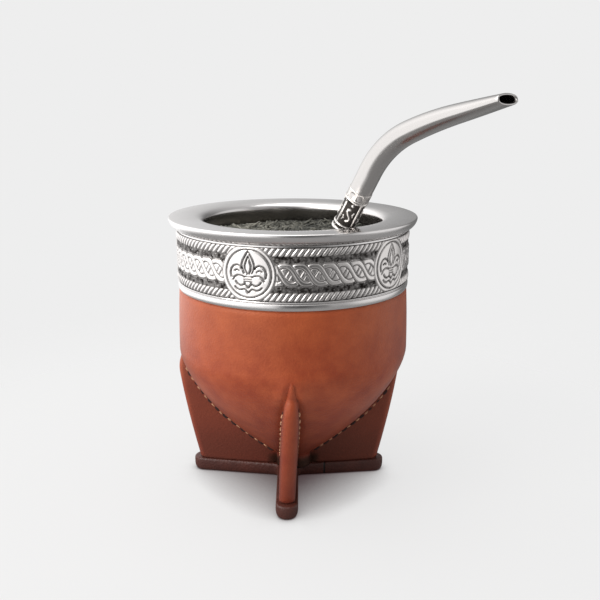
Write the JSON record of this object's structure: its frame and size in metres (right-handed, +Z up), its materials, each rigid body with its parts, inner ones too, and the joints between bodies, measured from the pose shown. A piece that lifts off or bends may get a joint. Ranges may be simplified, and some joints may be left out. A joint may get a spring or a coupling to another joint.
{
  "type": "mate gourd drink",
  "caption": "Leather-covered calabash mate cup with folded leather feet, an engraved metal collar, its filling and a bent metal drinking straw.",
  "frame": {"origin": "on the ground, in the sole's flat underside, below the axis of the gourd and its collar", "axes": "+Z up along the axis of the gourd and its collar, -Y to the front fin, +X to the right fin, with the straw leaning to the front right"},
  "size_m": [0.1011, 0.1037, 0.1348],
  "materials": {
    "cover_leather": "smooth vegetable-tanned leather, wet-moulded, satin",
    "dried_gourd": "dried calabash rind",
    "sole_leather": "dark edge-dyed leather strap",
    "collar_metal": "polished nickel silver with a stamped and blackened band",
    "filling": "damp chopped leaf",
    "straw_steel": "polished stainless steel",
    "ornament_metal": "cast silver-coloured metal, blackened in its hollows"
  },
  "bodies": {
    "root": {"leather": "cover_leather", "gourd": "dried_gourd", "sole": "sole_leather", "collar": "collar_metal", "yerba": "filling", "straw": "straw_steel", "straw_ornament": "ornament_metal"}
  },
  "joints": []
}
